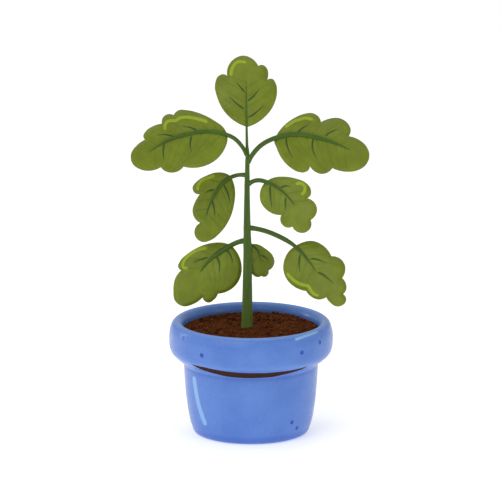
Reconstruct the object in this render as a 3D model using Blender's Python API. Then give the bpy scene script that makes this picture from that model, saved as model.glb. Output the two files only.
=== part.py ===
"""Potted basil plant: a glazed pot with a thick collar, soil, a tapering stem and eight lobed leaves.

Frame: metres, +Z up, origin at the centre of the pot's base. The plant is laid out on its face plane,
the vertical plane through the stem that is looked at from -Y. A point of the face plane is (right, up)
in millimetres. The leaves then get their depth: a point that is y behind the face plane also sits
lower by y * tan(FACE_SLOPE), so that the whole plant keeps its outline when it is seen from the front
and FACE_SLOPE above the horizon.
"""

import math

import bmesh
import bpy
import numpy as np
from mathutils import Vector
from mathutils.geometry import delaunay_2d_cdt

MM = 0.001
GAP = 0.3  # air left between the soil and the pot
FACE_SLOPE = math.radians(14)

# Pot, in millimetres: radii from its axis and heights from its base.
FOOT_RADIUS = 42.8
FOOT_RECESS_RADIUS = 36.0
FOOT_RECESS_DEPTH = 2.0
BODY_TOP_RADIUS = 53.9
BODY_TOP_HEIGHT = 57.3
COLLAR_EDGE_RADIUS = 63.6
COLLAR_EDGE_HEIGHT = 66.0
COLLAR_RADIUS = 65.7
COLLAR_BELLY_HEIGHT = 76.5
CREST_RADIUS = 59.4
POT_HEIGHT = 91.7
MOUTH_RADIUS = 54.2
FLOOR_HEIGHT = 8.0
WALL = 5.2
DRAIN_RADIUS = 6.0
POT_SEGMENTS = 64

# Soil and stem.
SOIL_HEIGHT = 85.2
SOIL_MOUND = 1.0
STEM_RIGHT = -3.0  # the plant stands a little left of the pot's axis
STEM_TOP = 236.0
STEM_BASE_RADIUS = 4.75
STEM_TOP_RADIUS = 1.45
ROOT_DEPTH = 24.0
ROOT_TIP_RADIUS = 1.2
STEM_SIDES = 16
STEM_SQUARENESS = 0.04  # share by which the corners of its section stand out
STEM_CLEARANCE = 0.5  # air round the stem where the soil and the stalks are cut for it

# Leaves.
BLADE_THICKNESS = 1.0
BLADE_GRID = 6.5  # spacing of the points that carry a blade's curvature
OUTLINE_STEP = 4.0
STALK_STEP = 4.5
STALK_SIDES = 8
STALK_TIP_SHARE = 0.2  # a stalk's tip radius as a share of its full radius
STALK_GAP = 0.4  # air between a stalk and the blade under it

# Each leaf hangs from its node, a point of the stem's axis. Its stalk and its blade's outline are
# (right, up) from the node. The stalk runs from the node over the blade as its midrib: entry is the
# index of the stalk point where it meets the blade, and full the share of its length before it tapers.
# The outline is one smooth curve from notch to notch, and starts and ends where the stalk enters.
# Depth: reach is how far behind the face plane the blade starts, sweep how much further back each
# millimetre outwards lies, tilt how much further back each millimetre upwards lies, arch and cup how
# the blade bends back along and across its length.
LEAVES = {
    "top": dict(
        node=236.0, side=1, radius=1.2, full=0.1, entry=1,
        reach=0.0, sweep=0.0, tilt=0.16, arch=0.0062, cup=0.004,
        stalk=[(-0.3, 0.3), (-0.5, 14.6), (-0.7, 34), (-0.8, 55)],
        outline=[
            [(0, 14.6), (-9, 18.7), (-18, 27), (-24, 39), (-25.7, 50), (-22.8, 56.8), (-19, 58.2),
             (-16, 56.8)],
            [(-16, 56.8), (-15.8, 63), (-9.5, 71.5), (-3.5, 73.6), (3, 71.6), (8.8, 65)],
            [(8.8, 65), (12.3, 65.8), (15.8, 62.8), (16.8, 58), (16, 53.5)],
            [(16, 53.5), (20, 54.3), (22.8, 50.5), (23.8, 43.5), (21.5, 33.5), (15.5, 24.3),
             (8, 18.1), (0, 14.6)],
        ],
    ),
    "upper_left": dict(
        node=229.5, side=-1, radius=1.7, full=0.7, entry=3,
        reach=-6.0, sweep=-0.34, tilt=0.70, arch=-0.0014, cup=0.005,
        stalk=[(0, -3), (-4.5, 5.5), (-10, 11.4), (-16.5, 14.7), (-30, 17.1), (-47, 15.0), (-63, 9.7),
               (-77.5, 0.5)],
        outline=[
            [(-16, 14.7), (-18.5, 20), (-26.5, 26.5), (-37, 32), (-48, 34.9), (-55, 34.8),
             (-58.8, 30.8)],
            [(-58.8, 30.8), (-62.5, 31.7), (-67, 29.2), (-68, 23.8)],
            [(-68, 23.8), (-75, 21.7), (-81, 17.3), (-82.8, 13.5), (-81.5, 10.5)],
            [(-81.5, 10.5), (-87.5, 6.2), (-92.5, -1.5), (-91.3, -9.2), (-85, -14), (-77, -15.1),
             (-68.8, -12.2)],
            [(-68.8, -12.2), (-64.5, -15.8), (-59.5, -16.6), (-54.5, -15.2), (-50.8, -11.7)],
            [(-50.8, -11.7), (-41, -12.6), (-31, -9.9), (-23, -4.3), (-17.8, 3.5), (-15.7, 11),
             (-16, 14.7)],
        ],
    ),
    "upper_right": dict(
        node=221.0, side=1, radius=1.95, full=0.7, entry=3,
        reach=6.0, sweep=0.34, tilt=0.70, arch=-0.0018, cup=0.005,
        stalk=[(0, -1), (5, 8), (11, 14.5), (22.3, 20.6), (39, 23.6), (55, 21.2), (71, 16), (82, 10.8)],
        outline=[
            [(22.3, 20.8), (28, 29.6), (37, 36.9), (45.5, 40.7), (52.5, 41.2), (57.5, 37.8),
             (59, 33.8)],
            [(59, 33.8), (66, 36.8), (73.5, 37.2), (80, 33.4), (82.8, 27.5), (81.2, 22.2)],
            [(81.2, 22.2), (89.5, 19.2), (95.5, 13.5), (97.7, 6.5), (95, -1.3), (88, -6.1),
             (80, -7.2), (68, -4.2)],
            [(68, -4.2), (64.5, -7.7), (59.5, -9), (54, -7), (50, -2.6)],
            [(50, -2.6), (49.3, -5.3), (46, -7.6), (41.5, -7.5), (34, -3.4), (27.5, 3.8), (23.3, 12.8),
             (21.6, 18.2), (22.3, 20.8)],
        ],
    ),
    "middle_left": dict(
        node=210.5, side=-1, radius=1.7, full=0.4, entry=2,
        reach=11.0, sweep=0.16, tilt=0.26, arch=-0.0022, cup=0.006,
        stalk=[(0, 0.2), (-6, 0.8), (-13, -1.1), (-20, -6.5), (-26, -15.5), (-30, -24), (-33, -33.5)],
        outline=[
            [(-13, -0.5), (-17.5, 2.2), (-24, 2.9), (-33, 0.1), (-40.5, -4.7), (-43.8, -9.7),
             (-42.2, -13.9),
             (-38, -15.2)],
            [(-38, -15.2), (-41.6, -21.1), (-43.8, -29), (-41.8, -35.3), (-37.7, -38.8)],
            [(-37.7, -38.8), (-41.6, -43), (-41.6, -49.8), (-36, -54.5), (-29.5, -53.2), (-21.5, -46.8),
             (-14.5, -36.5), (-10.3, -22.5), (-10, -9.5), (-13, -0.5)],
        ],
    ),
    "middle_right": dict(
        node=203.0, side=1, radius=1.75, full=0.35, entry=3,
        reach=-8.0, sweep=-0.20, tilt=0.40, arch=-0.0020, cup=0.006,
        stalk=[(0, -1), (4, 2.6), (8, 3.7), (15.5, 2.3), (24, -2.4), (31.5, -9), (38, -17)],
        outline=[
            [(15.3, 3), (21, 6), (29, 6.8), (39, 5.2), (46.5, 2), (50.8, -3.7), (50.4, -8.7),
             (48, -11)],
            [(48, -11), (53, -13.8), (55.7, -20), (54, -25.8), (50.6, -29)],
            [(50.6, -29), (51, -34), (46.8, -39), (40.5, -39), (36, -34.4)],
            [(36, -34.4), (31.5, -35.1), (26.7, -30.5), (27.2, -24.8)],
            [(27.2, -24.8), (22, -24.3), (15.3, -20.4), (10.8, -14), (10, -8), (11.7, -1.5), (15.3, 3)],
        ],
    ),
    "lower_left": dict(
        node=157.0, side=-1, radius=2.05, full=0.5, entry=2,
        reach=11.0, sweep=0.16, tilt=0.30, arch=-0.0018, cup=0.005,
        stalk=[(0, 0.2), (-7, -1), (-13.5, -4), (-22, -9.5), (-30.5, -16.5), (-37.5, -26)],
        outline=[
            [(-13.5, -3.2), (-19, -1.6), (-28, -1.7), (-39, -5.2), (-48, -10.8), (-54, -17),
             (-55.4, -21.7),
             (-53, -24.4)],
            [(-53, -24.4), (-57, -29.5), (-59.2, -41), (-57.5, -50), (-51.5, -54), (-43.5, -52.4),
             (-35.8, -46.8)],
            [(-35.8, -46.8), (-33.8, -50), (-30.5, -51), (-26.8, -48.8), (-23.3, -43.7)],
            [(-23.3, -43.7), (-16, -41.8), (-9, -36.4), (-5, -28.3), (-4.6, -19.5), (-7.8, -10),
             (-13.5, -3.2)],
        ],
    ),
    "lower_right": dict(
        node=167.5, side=1, radius=1.95, full=0.45, entry=3,
        reach=-16.0, sweep=-0.20, tilt=0.40, arch=-0.0016, cup=0.006,
        stalk=[(0, 0.3), (10, -1.2), (24, -6.3), (38.5, -15.3), (47, -24.5), (55, -36)],
        outline=[
            [(38.5, -14.9), (44.5, -11.7), (52, -10.6), (60, -13.9), (64.8, -18.7), (67.2, -23.2)],
            [(67.2, -23.2), (73.5, -24.7), (77.8, -30), (78, -36.5), (75.8, -41.2)],
            [(75.8, -41.2), (79, -46.5), (78.8, -51.3), (76.5, -54.3)],
            [(76.5, -54.3), (79, -59), (76, -63.5), (71, -64.5), (66.5, -61.7), (63, -57)],
            [(63, -57), (57, -58.9), (51, -56.5), (47, -51.9)],
            [(47, -51.9), (40, -49.8), (32.8, -43.9), (29.1, -36), (29.3, -27.5), (33.5, -18.9),
             (38.5, -14.9)],
        ],
    ),
    "small": dict(
        node=154.5, side=1, radius=0.85, full=0.5, entry=1,
        reach=6.5, sweep=0.45, tilt=0.04, arch=-0.0030, cup=0.010,
        stalk=[(1.5, 0.6), (5.5, -2), (8.3, -5.5), (9.9, -10), (10.3, -16)],
        outline=[
            [(3.2, -0.2), (8, -0.3), (14.5, -3.9), (20.3, -9.5), (21.8, -15.2), (20, -19.7),
             (17, -22.1)],
            [(17, -22.1), (16.6, -25.5), (13.8, -27.3), (11.3, -26.5)],
            [(11.3, -26.5), (8, -27.5), (4, -25), (1.5, -18), (1, -9), (3.2, -0.2)],
        ],
    ),
}


def material(name, colour, roughness):
    made = bpy.data.materials.new(name)
    made.use_nodes = True
    shader = made.node_tree.nodes["Principled BSDF"]
    shader.inputs["Base Color"].default_value = (*colour, 1)
    shader.inputs["Roughness"].default_value = roughness
    shader.inputs["Metallic"].default_value = 0
    return made


def add_object(name, bm, finish):
    """The bmesh, whose points are in millimetres, as an object in metres."""
    bmesh.ops.scale(bm, vec=(MM, MM, MM), verts=bm.verts)
    bmesh.ops.recalc_face_normals(bm, faces=bm.faces)
    mesh = bpy.data.meshes.new(name)
    bm.to_mesh(mesh)
    bm.free()
    mesh.shade_smooth()
    mesh.set_sharp_from_angle(angle=math.radians(40))
    mesh.materials.append(finish)
    made = bpy.data.objects.new(name, mesh)
    bpy.context.scene.collection.objects.link(made)
    return made


# ---------------------------------------------------------------- curves


def on_circle(a, b, c, start, end, t):
    """The point at share t of the arc from start to end, on the circle through a, b and c."""
    (ax, ay), (bx, by), (cx, cy) = a, b, c
    d = 2 * (ax * (by - cy) + bx * (cy - ay) + cx * (ay - by))
    if abs(d) < 1e-6:
        return np.array(start) + t * (np.array(end) - np.array(start))
    aa, bb, cc = ax * ax + ay * ay, bx * bx + by * by, cx * cx + cy * cy
    centre = np.array(
        [aa * (by - cy) + bb * (cy - ay) + cc * (ay - by), aa * (cx - bx) + bb * (ax - cx) + cc * (bx - ax)]
    ) / d
    u, v = np.array(start) - centre, np.array(end) - centre
    turn = math.atan2(u[0] * v[1] - u[1] * v[0], u @ v) * t
    return centre + np.array(
        [u[0] * math.cos(turn) - u[1] * math.sin(turn), u[0] * math.sin(turn) + u[1] * math.cos(turn)]
    )


def smooth_curve(points, step):
    """Points about step apart on a round curve through these: each span blends the arcs of its two ends."""
    made = [np.array(points[0], float)]
    last = len(points) - 1
    for i in range(last):
        start, end = points[i], points[i + 1]
        before = points[max(i - 1, 0):][:3]
        after = points[min(i, last - 2):][:3]
        count = max(1, round(math.dist(start, end) / step))
        for k in range(1, count + 1):
            t = k / count
            made.append(
                (1 - t) * on_circle(*before, start, end, t) + t * on_circle(*after, start, end, t)
            )
    return made


# ---------------------------------------------------------------- solids


def turned(name, profile, finish):
    """A (radius, height) profile turned about the pot's axis. It is closed, or ends on the axis twice."""
    bm = bmesh.new()
    ring = [bm.verts.new((r, 0, z)) for r, z in profile]
    closed = profile[0][0] > 0
    for i in range(len(ring) if closed else len(ring) - 1):
        bm.edges.new((ring[i], ring[(i + 1) % len(ring)]))
    bmesh.ops.spin(
        bm, geom=bm.verts[:] + bm.edges[:], cent=(0, 0, 0), axis=(0, 0, 1), angle=2 * math.pi,
        steps=POT_SEGMENTS, use_merge=True, use_normal_flip=False,
    )
    bmesh.ops.remove_doubles(bm, verts=bm.verts, dist=0.001)
    bmesh.ops.dissolve_degenerate(bm, edges=bm.edges, dist=0.001)
    return add_object(name, bm, finish)


def tube(name, path, radii, sides, finish, squareness=0.0):
    """A closed tube along the path, whose cross-section is a circle or, with squareness, a rounded square."""
    bm = bmesh.new()
    rings = []
    across = Vector((0, 1, 0))
    for i, (point, radius) in enumerate(zip(path, radii)):
        along = (Vector(path[min(i + 1, len(path) - 1)]) - Vector(path[max(i - 1, 0)])).normalized()
        across = (across - along * across.dot(along)).normalized()
        beside = along.cross(across)
        ring = []
        for k in range(sides):
            angle = 2 * math.pi * (k + 0.5) / sides
            reach = radius * (1 - squareness * math.cos(4 * angle))
            spoke = across * math.cos(angle) + beside * math.sin(angle)
            ring.append(bm.verts.new(Vector(point) + spoke * reach))
        rings.append(ring)
    for low, high in zip(rings, rings[1:]):
        for k in range(sides):
            j = (k + 1) % sides
            bm.faces.new((low[k], low[j], high[j], high[k]))
    bm.faces.new(rings[0][::-1])
    bm.faces.new(rings[-1])
    return add_object(name, bm, finish)


def cut(piece, cutter):
    """Takes the cutter's shape out of the piece, and hides the cutter."""
    modifier = piece.modifiers.new("cut_" + cutter.name, "BOOLEAN")
    modifier.operation = "DIFFERENCE"
    modifier.solver = "EXACT"
    modifier.object = cutter
    cutter.hide_render = True
    cutter.display_type = "WIRE"


# ---------------------------------------------------------------- pot and soil


def wall_inside():
    """The pot's inner wall, from its mouth down to the floor."""
    return smooth_curve(
        [
            (MOUTH_RADIUS, SOIL_HEIGHT),
            (MOUTH_RADIUS - 1.6, 70),
            (BODY_TOP_RADIUS - WALL, BODY_TOP_HEIGHT - 4),
            (BODY_TOP_RADIUS - WALL - 1.8, 32),
            (BODY_TOP_RADIUS - WALL - 6, FLOOR_HEIGHT + 3.5),
            (BODY_TOP_RADIUS - WALL - 10.5, FLOOR_HEIGHT),
        ],
        9,
    )


def build_pot(finish):
    foot = [
        (DRAIN_RADIUS, FLOOR_HEIGHT),
        (DRAIN_RADIUS, FOOT_RECESS_DEPTH),
        (FOOT_RECESS_RADIUS, FOOT_RECESS_DEPTH),
        (FOOT_RECESS_RADIUS + 1.5, 0),
    ]
    body = smooth_curve(
        [
            (FOOT_RADIUS, 0),
            (FOOT_RADIUS + 2.8, 1.4),
            (FOOT_RADIUS + 4.6, 5.5),
            (FOOT_RADIUS + 8.5, 24),
            (BODY_TOP_RADIUS - 0.7, 44),
            (BODY_TOP_RADIUS, BODY_TOP_HEIGHT),
        ],
        7,
    )
    under_collar = smooth_curve(
        [
            (BODY_TOP_RADIUS + 0.7, BODY_TOP_HEIGHT + 1),
            (BODY_TOP_RADIUS + 6.2, BODY_TOP_HEIGHT + 5.2),
            (COLLAR_EDGE_RADIUS, COLLAR_EDGE_HEIGHT),
        ],
        4,
    )
    collar = smooth_curve(
        [
            (COLLAR_EDGE_RADIUS + 1.3, COLLAR_EDGE_HEIGHT + 3),
            (COLLAR_RADIUS, COLLAR_BELLY_HEIGHT),
            (COLLAR_RADIUS - 1.2, POT_HEIGHT - 5.2),
            (COLLAR_RADIUS - 2.9, POT_HEIGHT - 1.7),
            (CREST_RADIUS, POT_HEIGHT),
            (CREST_RADIUS - 3.4, POT_HEIGHT - 1.8),
            (MOUTH_RADIUS, SOIL_HEIGHT),
        ],
        5,
    )
    profile = foot + body + under_collar + collar + wall_inside()[1:]
    return turned("pot", [(float(r), float(z)) for r, z in profile], finish)


def stem_radius(up):
    """The stem's radius at a height above the pot's base."""
    share = (up - SOIL_HEIGHT) / (STEM_TOP - SOIL_HEIGHT)
    return STEM_BASE_RADIUS + (STEM_TOP_RADIUS - STEM_BASE_RADIUS) * min(max(share, 0), 1)


def stem_path(clearance=0.0):
    """(path, radii) of the stem and the root that it stands on, grown all round by clearance."""
    root_end = SOIL_HEIGHT - ROOT_DEPTH
    heights = [root_end - clearance, SOIL_HEIGHT - 8, SOIL_HEIGHT - 2]
    heights += list(np.linspace(SOIL_HEIGHT + 6, STEM_TOP + clearance, 18))
    path = [(STEM_RIGHT, 0, up) for up in heights]
    radii = [ROOT_TIP_RADIUS, 0.8 * STEM_BASE_RADIUS] + [stem_radius(up) for up in heights[2:]]
    return path, [radius + clearance for radius in radii]


def build_soil(finish):
    wall = [(float(r) - GAP, float(z)) for r, z in wall_inside()]
    profile = [(0, SOIL_HEIGHT + SOIL_MOUND), (16, SOIL_HEIGHT + 0.7 * SOIL_MOUND), (34, SOIL_HEIGHT)]
    profile += [(wall[0][0], wall[0][1] - GAP)] + wall[1:-1]
    profile += [(wall[-1][0], FLOOR_HEIGHT + GAP), (0, FLOOR_HEIGHT + GAP)]
    return turned("soil", profile, finish)


# ---------------------------------------------------------------- leaves


def turned_about(point, direction):
    """(along, across) of a (right, up) step, for a blade that points in direction."""
    along = point[0] * direction[0] + point[1] * direction[1]
    across = point[1] * direction[0] - point[0] * direction[1]
    return along, across


def blade_depth(leaf, right, up):
    """How far behind the face plane the leaf's blade lies at (right, up) from its node."""
    base, tip = leaf["stalk"][leaf["entry"]], leaf["stalk"][-1]
    length = math.dist(base, tip)
    direction = ((tip[0] - base[0]) / length, (tip[1] - base[1]) / length)
    step = (right - base[0], up - base[1])
    along, across = turned_about(step, direction)
    return (
        leaf["reach"]
        + leaf["sweep"] * leaf["side"] * step[0]
        + leaf["tilt"] * step[1]
        + leaf["arch"] * max(along, 0) ** 2
        + leaf["cup"] * across**2
    )


def placed(leaf, right, up, depth):
    """The point in space of (right, up) from the leaf's node at this depth behind the face plane."""
    return Vector((STEM_RIGHT + right, depth, leaf["node"] + up - depth * math.tan(FACE_SLOPE)))


def blade_point(leaf, right, up):
    return placed(leaf, right, up, blade_depth(leaf, right, up))


def blade_normal(leaf, right, up):
    """The blade's normal on its upper side, which looks forward and up."""
    by_right = blade_point(leaf, right + 0.5, up) - blade_point(leaf, right - 0.5, up)
    by_up = blade_point(leaf, right, up + 0.5) - blade_point(leaf, right, up - 0.5)
    return by_right.cross(by_up).normalized()


def inside(point, outline):
    """True if a (right, up) point lies in the closed outline."""
    x, y = point
    crossed = False
    for (x0, y0), (x1, y1) in zip(outline, outline[1:] + outline[:1]):
        if (y0 > y) != (y1 > y) and x < x0 + (y - y0) / (y1 - y0) * (x1 - x0):
            crossed = not crossed
    return crossed


def blade_layout(leaf):
    """(points, triangles, outline length) of the blade on the face plane: the outline, filled over a grid."""
    outline = []
    for stretch in leaf["outline"]:
        outline += [tuple(p) for p in smooth_curve(stretch, OUTLINE_STEP)[:-1]]
    low, high = np.min(outline, axis=0), np.max(outline, axis=0)
    grid = []
    row_height = BLADE_GRID * math.sqrt(3) / 2
    for row in range(int((high[1] - low[1]) / row_height) + 1):
        shift = BLADE_GRID / 2 * (row % 2)
        for column in range(int((high[0] - low[0]) / BLADE_GRID) + 1):
            point = (low[0] + shift + column * BLADE_GRID, low[1] + row * row_height)
            clear = min(math.dist(point, other) for other in outline)
            if clear > 0.55 * OUTLINE_STEP and inside(point, outline):
                grid.append(point)
    edges = [(i, (i + 1) % len(outline)) for i in range(len(outline))]
    points, _, faces, *_ = delaunay_2d_cdt([Vector(p) for p in outline + grid], edges, [], 1, 1e-4)
    return [tuple(p) for p in points], faces, len(outline)


def build_blade(name, leaf, finish):
    """The blade as a closed sheet of one thickness, over the curved surface of blade_point."""
    points, faces, rim = blade_layout(leaf)
    bm = bmesh.new()
    layers = []
    for offset in (BLADE_THICKNESS / 2, -BLADE_THICKNESS / 2):
        layers.append(
            [bm.verts.new(blade_point(leaf, *p) + offset * blade_normal(leaf, *p)) for p in points]
        )
    front, back = layers
    for face in faces:
        bm.faces.new([front[i] for i in face])
        bm.faces.new([back[i] for i in reversed(face)])
    for i in range(rim):
        j = (i + 1) % rim
        bm.faces.new((front[i], front[j], back[j], back[i]))
    return add_object(name, bm, finish)


def build_stalk(name, leaf, finish):
    """The leaf's stalk, which goes on along the blade's upper side as its midrib."""
    line = smooth_curve(leaf["stalk"], STALK_STEP)
    entry = min(range(len(line)), key=lambda i: math.dist(line[i], leaf["stalk"][leaf["entry"]]))
    sight = Vector((0, 1, -math.tan(FACE_SLOPE)))
    path, radii = [], []
    for i, (right, up) in enumerate(line):
        taken = min(i / max(0.8 * entry, 1), 1)  # 0 at the stem, 1 from a little before the blade
        taken = taken * taken * (3 - 2 * taken)
        share = i / (len(line) - 1)
        taper = max(share - leaf["full"], 0) / (1 - leaf["full"])
        radius = leaf["radius"] * (1 - (1 - STALK_TIP_SHARE) * taper)
        clear = radius + BLADE_THICKNESS / 2 + STALK_GAP
        in_front = clear / abs(sight.dot(blade_normal(leaf, right, up)))
        path.append(placed(leaf, right, up, taken * (blade_depth(leaf, right, up) - in_front)))
        radii.append(radius)
    return tube(name, path, radii, STALK_SIDES, finish)


# ---------------------------------------------------------------- the plant


def main():
    for old in list(bpy.data.objects):
        bpy.data.objects.remove(old)
    glaze = material("blue_glaze", (0.125, 0.235, 0.61), 0.25)
    earth = material("potting_soil", (0.067, 0.02, 0.008), 0.95)
    bark = material("stem_green", (0.062, 0.11, 0.019), 0.5)
    blade = material("leaf_green", (0.165, 0.209, 0.022), 0.4)

    build_pot(glaze)
    soil = build_soil(earth)
    tube("stem", *stem_path(), STEM_SIDES, bark, STEM_SQUARENESS)
    stem_room = tube("stem_room", *stem_path(STEM_CLEARANCE), STEM_SIDES, bark)
    cut(soil, stem_room)
    for name, leaf in LEAVES.items():
        stalk = build_stalk("stalk_" + name, leaf, bark)
        if name != "top":
            cut(stalk, stem_room)
        build_blade("leaf_" + name, leaf, blade)
    plant = bpy.data.objects.new("potted_basil", None)
    bpy.context.scene.collection.objects.link(plant)
    for piece in list(bpy.data.objects):
        if piece.type == "MESH" and not piece.hide_render:
            piece.parent = plant


main()
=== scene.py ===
# The looks of the potted basil plant: blades, stalks, stem, soil and glazed pot as fine meshes.
#
# Millimetres are used throughout and turned into metres when a mesh is made. The leaves are laid out
# on the face plane, the vertical plane through the stem, as (right, up) from the point of the stem that
# each one grows from. Depth is how far behind that plane a point lies. A point that is y behind it also
# sits lower by y * tan(FACE_SLOPE), so that the outlines hold from the front, FACE_SLOPE above the horizon.

import math
import random

import bmesh
import bpy
import numpy as np
from mathutils import Matrix, Vector, noise
from mathutils.geometry import delaunay_2d_cdt


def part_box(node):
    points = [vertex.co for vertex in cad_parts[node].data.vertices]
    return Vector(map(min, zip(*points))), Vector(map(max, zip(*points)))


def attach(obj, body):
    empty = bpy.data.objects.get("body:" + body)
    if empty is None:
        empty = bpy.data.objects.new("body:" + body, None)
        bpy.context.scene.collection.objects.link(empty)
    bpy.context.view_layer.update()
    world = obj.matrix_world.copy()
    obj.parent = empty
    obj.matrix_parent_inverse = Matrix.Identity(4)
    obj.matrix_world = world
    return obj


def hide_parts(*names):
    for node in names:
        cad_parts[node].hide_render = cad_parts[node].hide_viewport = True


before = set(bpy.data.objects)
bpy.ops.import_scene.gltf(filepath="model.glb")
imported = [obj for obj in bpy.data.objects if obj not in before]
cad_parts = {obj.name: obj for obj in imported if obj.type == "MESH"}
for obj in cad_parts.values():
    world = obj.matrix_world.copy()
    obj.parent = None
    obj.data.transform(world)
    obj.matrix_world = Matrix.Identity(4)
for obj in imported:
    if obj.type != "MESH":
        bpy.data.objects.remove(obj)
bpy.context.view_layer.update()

MM = 0.001
FACE_SLOPE = math.radians(14)
SIGHT = np.array([0.0, 1.0, -math.tan(FACE_SLOPE)])  # a step away from the viewer that keeps its place

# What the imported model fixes, in millimetres.
STEM_LOW, STEM_HIGH = (np.array(corner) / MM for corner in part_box("stem"))
POT_HIGH = np.array(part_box("pot")[1]) / MM
SOIL_HIGH = np.array(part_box("soil")[1]) / MM
STEM_RIGHT = (STEM_LOW[0] + STEM_HIGH[0]) / 2
STEM_TOP = STEM_HIGH[2]
ROOT_END = STEM_LOW[2]
COLLAR_RADIUS = POT_HIGH[0]
POT_HEIGHT = POT_HIGH[2]
SOIL_MOUND = 1.0
SOIL_HEIGHT = SOIL_HIGH[2] - SOIL_MOUND

# Studio, in metres and watts. Each softbox: where it stands, what it points at, width, height, power.
FLOOR_GLOW = 0.38  # what makes the studio's floor white all round, as lit paper is
FLOOR_HALF_WIDTH = 6.0
WORLD_STRENGTH = 0.56
PLANT_MIDDLE = (0, 0, 0.15)
SOFTBOXES = {
    "key_softbox": ((-0.85, -1.25, 1.35), PLANT_MIDDLE, 1.3, 1.3, 10.5),
    "fill_softbox": ((1.3, -1.1, 0.7), PLANT_MIDDLE, 1.0, 1.0, 2.8),
    "top_softbox": ((0.1, 0.3, 1.6), PLANT_MIDDLE, 0.9, 0.9, 3.4),
    "left_strip": ((-1.0, 0.4, 0.35), (0, 0, 0.05), 0.16, 0.55, 1.5),
}
LENS, SENSOR_WIDTH = 1200, 36  # so long a lens that the leaves' outlines hardly shift with their depth
VIEW_WIDTH = 0.4
AIM = (-0.0008, 0, 0.1494)

# Pot and soil.
POT_SEGMENTS = 320
SOIL_SEGMENTS = 240
DRAIN_RADIUS = 6
POT_FLOOR = 8  # height of the floor's inside
BASE_LIFT = 2  # how far the base is raised inside the foot ring
BODY_TOP_RADIUS, BODY_TOP_HEIGHT = 53.9, 56.6
LEDGE_RADIUS, LEDGE_HEIGHT = 63.6, 66  # the outer edge of the collar's underside
CREST_RADIUS = 59.4
MOUTH_RADIUS = 54.2
INSIDE_WALL = [(52.6, 70), (48.7, 53.3), (46.9, 32), (42.7, 11.5)]
SOIL_GAP = 0.3
CRUMBS = 1100
SHADE_CRESCENTS = 3  # crescents of painted shade under the collar: dark brown, rough and bare of glaze, where the collar's shadow falls
SHADE_CRESCENT_HALF_ANGLE = 49.6  # in degrees round the pot, from a crescent's middle to its ends

# Blades.
OUTLINE_STEP = 0.7
BLADE_GRID = 0.7
VEIN_STEP = 0.6
VEIN_HALF_WIDTH = 0.85
FINE_VEIN_HALF_WIDTH = 0.5
# half the width of the painted highlight band, a pale stroke that stands in for a leaf's gloss
HIGHLIGHT_BAND_HALF_WIDTH = 1.3
BLADE_THICKNESS = 0.55
MARGIN_THICKNESS = 0.2
MARGIN_WIDTH = 1.6
VEIN_DEPTH = 0.32
QUILT_HEIGHT = 0.42
# how far each blade swells forward under its painted highlight band
HIGHLIGHT_BAND_SWELL = 0.2
RIPPLE_HEIGHT, RIPPLE_SIZE = 0.9, 17
PUCKER_HEIGHT, PUCKER_SIZE = 0.35, 6
CURL = 0.9  # how far the margin turns back, away from the viewer
FINE_VEIN_SPACING = 8.5
FINE_VEIN_LENGTH = 34
FINE_VEIN_MARGIN = 1.5  # how far from the margin they stop

# Stalks and stem.
STALK_STEP = 0.9
STALK_SIDES = 20
STALK_TIP_SHARE = 0.2
STALK_STANDS_OUT = 0.35  # share of its radius that a midrib's centre stands in front of the blade
MIDRIB_FLATNESS = 0.7  # a midrib's depth as a share of its width
STEM_SIDES = 72
STEM_BASE_RADIUS = 4.75
STEM_TOP_RADIUS = 1.45
ROOT_TIP_RADIUS = 1.4
ALONG_GRAIN = (1, 1, 0.08)  # stretches noise along the fibres of the stem and stalks
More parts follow.
